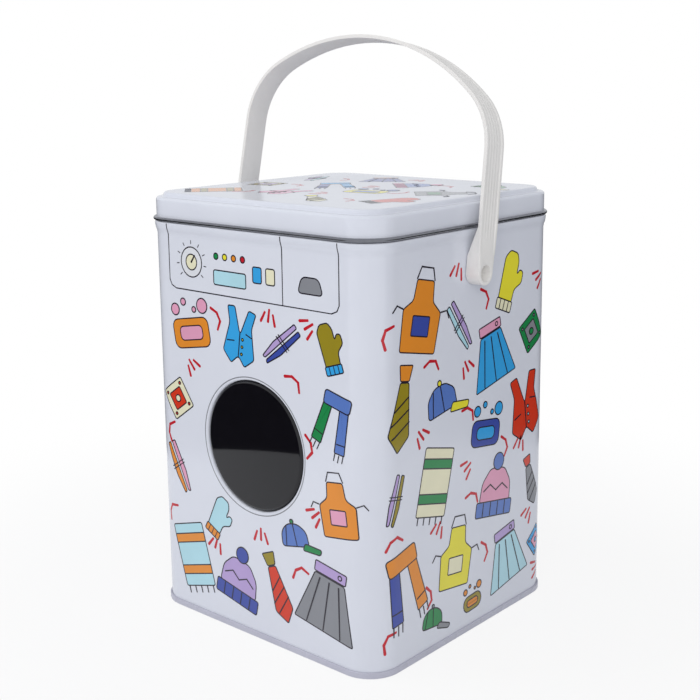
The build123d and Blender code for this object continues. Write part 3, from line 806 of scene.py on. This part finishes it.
# Each moulded end: a plate with a round foot and a flare, its recess, the slope behind it, and the stud.
for side in (1, -1):
    end = bmesh.new()
    arc_start = end.verts.new(Vector((BOSS_OUTSIDE, BOSS_RADIUS, 0)) * MM)
    bmesh.ops.spin(end, geom=[arc_start], cent=Vector((BOSS_OUTSIDE, 0, 0)) * MM, axis=(1, 0, 0), angle=-pi,
                   steps=BOSS_STEPS)
    arc_end = min(end.verts, key=lambda v: (v.co.y, -abs(v.co.z)))
    corner_a = end.verts.new(Vector((BOSS_OUTSIDE, STRAP / 2, FLARE_TOP)) * MM)
    corner_b = end.verts.new(Vector((BOSS_OUTSIDE, -STRAP / 2, FLARE_TOP)) * MM)
    for pair in ((arc_start, corner_a), (corner_a, corner_b), (corner_b, arc_end)):
        end.edges.new(pair)
    border = end.edges[:]
    hollow = bmesh.ops.create_circle(end, segments=RECESS_STEPS, radius=RECESS * MM,
                                     matrix=at(BOSS_OUTSIDE, 0, 0) @ Matrix.Rotation(pi / 2, 4, "Y"))
    rim = edges_at(hollow["verts"])
    bmesh.ops.triangle_fill(end, use_beauty=True, edges=border + rim)
    back = extrude_along(end, border, Vector((BOSS_FACE - BOSS_OUTSIDE, 0, 0)) * MM)
    bmesh.ops.contextual_create(end, geom=back)
    floor_edge = extrude_along(end, rim, Vector((-RECESS_DEPTH, 0, 0)) * MM)
    bmesh.ops.contextual_create(end, geom=floor_edge)
    bmesh.ops.bisect_plane(end, geom=end.verts[:] + end.edges[:] + end.faces[:], dist=END_CUT * MM,
                           plane_co=Vector((0, 0, FIELD_FOOT)) * MM, plane_no=(0, 0, 1))
    for vert in end.verts:
        if vert.co.x > (BOSS_OUTSIDE - PICK) * MM:
            vert.co.x -= vert.co.z * tan(TOE_IN)
            if vert.co.z > (FIELD_FOOT + PICK) * MM:
                vert.co.x -= FIELD_SINK * MM
    slope = Vector((BOSS_OUTSIDE - FLARE_TOP * tan(TOE_IN) - STRAP_THICK - BOSS_FACE, 0, FLARE_TOP - BOSS_FLAT))
    cut = bmesh.ops.bisect_plane(end, geom=end.verts[:] + end.edges[:] + end.faces[:], dist=END_CUT * MM,
                                 plane_co=Vector((BOSS_FACE, 0, BOSS_FLAT)) * MM, plane_no=(-slope.z, 0, slope.x),
                                 clear_outer=True)["geom_cut"]
    bmesh.ops.contextual_create(end, geom=[g for g in cut if isinstance(g, bmesh.types.BMEdge)])
    bmesh.ops.recalc_face_normals(end, faces=end.faces[:])
    for bend, inner in ((BOSS_SOFT, False), (RECESS_SOFT, True)):
        crisp = [e for e in end.edges if e.calc_face_angle(0.0) > CRISP
                 and (max(v.co.yz.length for v in e.verts) < (RECESS + PICK) * MM) == inner]
        bmesh.ops.bevel(end, geom=crisp, offset=bend * MM, offset_type="OFFSET", segments=SOFT_STEPS, profile=0.5,
                        affect="EDGES", material=-1, clamp_overlap=True)
    for radius_a, radius_b, start, stop in ((STUD, STUD, STUD_SHOULDER, BOSS_FACE + STUD_ROOT),
                                            (STUD_NOSE, STUD_BARB, STUD_TIP, STUD_SHOULDER)):
        bmesh.ops.create_cone(end, cap_ends=True, segments=STUD_STEPS, radius1=radius_a * MM, radius2=radius_b * MM,
                              depth=(stop - start) * MM,
                              matrix=at((start + stop) / 2, 0, 0) @ Matrix.Rotation(pi / 2, 4, "Y"))
    if side < 0:
        bmesh.ops.scale(end, vec=(-1, 1, 1), verts=end.verts[:])
    bmesh.ops.recalc_face_normals(end, faces=end.faces[:])
    join(strap, end)
bmesh.ops.recalc_face_normals(strap, faces=strap.faces[:])
bmesh.ops.rotate(strap, cent=(0, 0, 0), matrix=Matrix.Rotation(LEAN, 3, "X"), verts=strap.verts[:])
bmesh.ops.translate(strap, vec=PIVOT, verts=strap.verts[:])
strap_handle = piece(strap, "strap_handle", milky_plastic)
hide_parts("carry_handle")
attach(strap_handle, "handle")

# Studio. The box stands on a pale table under soft light from all round, seen from the right and a little above.
# A dark felt flag stands round it and is seen only in gloss, so that the pane and the lacquer have something to mirror.
CAMERA = Vector((441.1, -502.0, 303.4)) * MM
AZIMUTH = radians(41.309)
ELEVATION = radians(11.091)
ROLL = radians(-0.596)
FOCAL_PIXELS = 1203.981
FRAME_PIXELS = 700
CENTRE = (352.384, 303.398)
SENSOR = 36.0
NEAREST = 0.01
TABLE_RADIUS = 2500.0
TABLE_STEPS = 96
TABLE_NEAR = 150.0
TABLE_FAR = 420.0
TABLE_CLEAR = 0.85
FLAG_RADIUS = 387.0
FLAG_CENTRE = Vector((52, -40, 0))
FLAG_HEIGHT = 230.0
FLAG_START = radians(95)
FLAG_SWEEP = radians(248)
FLAG_STEPS = 62
ROOM = 0.5
ROOM_MIRRORED = 0.42
ROOM_SEEN = 0.5
LAMP_AIM = Vector((0, 0, 0.12))
# Each lamp: name, place and size in metres, and power.
LAMPS = (("over_light", (0.1, -0.1, 1.6), 1.6, 3.5), ("camera_light", (0.9, -1.1, 0.8), 0.9, 8.0),
         ("left_light", (-1.2, -0.9, 0.9), 0.9, 7.5))

# The table's matt cloth is mostly clear to the eye and in gloss, and more so farther out: it keeps the box's soft
# shadow and fades into the white room, while it lights the box from below as full cloth.
table = bmesh.new()
bmesh.ops.create_circle(table, cap_ends=True, segments=TABLE_STEPS, radius=TABLE_RADIUS * MM)
table_top = piece(table, "table_top")
pale = bpy.data.materials.new("pale_table")
pale.use_nodes = True
tree = pale.node_tree
ray = add(tree, "ShaderNodeLightPath")
seen = add(tree, "ShaderNodeMath", {0: ray.outputs["Is Camera Ray"], 1: ray.outputs["Is Glossy Ray"]},
           operation="MAXIMUM")
away = add(tree, "ShaderNodeVectorMath", {0: add(tree, "ShaderNodeTexCoord").outputs["Object"]}, operation="LENGTH")
fade = add(tree, "ShaderNodeMapRange", {"Value": away.outputs["Value"], "From Min": TABLE_NEAR * MM,
                                        "From Max": TABLE_FAR * MM, "To Min": TABLE_CLEAR, "To Max": 1.0},
           interpolation_type="SMOOTHSTEP")
share = add(tree, "ShaderNodeMath", {0: seen.outputs[0], 1: fade.outputs[0]}, operation="MULTIPLY")
clear = add(tree, "ShaderNodeBsdfTransparent", {"Color": linear("#FFFFFF")})
cloth = add(tree, "ShaderNodeBsdfDiffuse", {"Color": linear("#ECECEE")})
blend = add(tree, "ShaderNodeMixShader", {0: share.outputs[0], 1: cloth.outputs[0], 2: clear.outputs[0]})
tree.links.new(blend.outputs[0], tree.nodes["Material Output"].inputs["Surface"])
table_top.data.materials.append(pale)

flag = bmesh.new()
post_foot = FLAG_CENTRE + FLAG_RADIUS * Vector((sin(FLAG_START), -cos(FLAG_START), 0))
post = [flag.verts.new((post_foot + Vector((0, 0, z))) * MM) for z in (0, FLAG_HEIGHT)]
bmesh.ops.spin(flag, geom=post + [flag.edges.new(post)], cent=FLAG_CENTRE * MM, axis=(0, 0, 1), angle=FLAG_SWEEP,
               steps=FLAG_STEPS)
dark_flag = piece(flag, "dark_flag")
for unseen in ("camera", "diffuse", "shadow", "transmission", "volume_scatter"):
    setattr(dark_flag, "visible_" + unseen, False)
felt = bpy.data.materials.new("dark_felt")
felt.use_nodes = True
felt_shader = felt.node_tree.nodes["Principled BSDF"]
felt_shader.inputs["Base Color"].default_value = linear("#1C1B20")
felt_shader.inputs["Roughness"].default_value = 1.0
dark_flag.data.materials.append(felt)

# The room is white to the eye, a little less in gloss, and lights the box at half that.
world = bpy.data.worlds.new("soft_room")
bpy.context.scene.world = world
world.use_nodes = True
tree = world.node_tree
ray = add(tree, "ShaderNodeLightPath")
mirrored = add(tree, "ShaderNodeMath", {0: ray.outputs["Is Glossy Ray"], 1: ROOM_MIRRORED, 2: ROOM},
               operation="MULTIPLY_ADD")
strength = add(tree, "ShaderNodeMath", {0: ray.outputs["Is Camera Ray"], 1: ROOM_SEEN, 2: mirrored.outputs[0]},
               operation="MULTIPLY_ADD")
tint = add(tree, "ShaderNodeMix", {0: ray.outputs["Is Camera Ray"], 6: linear("#F6F8FC"), 7: linear("#FFFFFF")},
           data_type="RGBA")
tree.links.new(tint.outputs[2], tree.nodes["Background"].inputs["Color"])
tree.links.new(strength.outputs[0], tree.nodes["Background"].inputs["Strength"])

# The lamps aren't mirrored, so that no bright square stands in the lacquer.
for name, place, size, power in LAMPS:
    lamp = bpy.data.lights.new(name, "AREA")
    lamp.size = size
    lamp.energy = power
    holder = bpy.data.objects.new(name, lamp)
    holder.location = place
    holder.rotation_euler = (LAMP_AIM - Vector(place)).to_track_quat("-Z", "Y").to_euler()
    holder.visible_glossy = False
    bpy.context.scene.collection.objects.link(holder)

lens = bpy.data.cameras.new("viewpoint")
lens.sensor_width = SENSOR
lens.lens = FOCAL_PIXELS / FRAME_PIXELS * SENSOR
lens.shift_x = (FRAME_PIXELS / 2 - CENTRE[0]) / FRAME_PIXELS
lens.shift_y = (CENTRE[1] - FRAME_PIXELS / 2) / FRAME_PIXELS
lens.clip_start = NEAREST
viewpoint = bpy.data.objects.new("viewpoint", lens)
back = Vector((sin(AZIMUTH) * cos(ELEVATION), -cos(AZIMUTH) * cos(ELEVATION), sin(ELEVATION)))
right = Vector((cos(AZIMUTH), sin(AZIMUTH), 0))
up = back.cross(right)
aim = Matrix((cos(ROLL) * right + sin(ROLL) * up, cos(ROLL) * up - sin(ROLL) * right, back)).transposed().to_4x4()
viewpoint.matrix_world = Matrix.Translation(CAMERA) @ aim
bpy.context.scene.collection.objects.link(viewpoint)
bpy.context.scene.camera = viewpoint
bpy.context.scene.view_settings.view_transform = "Standard"
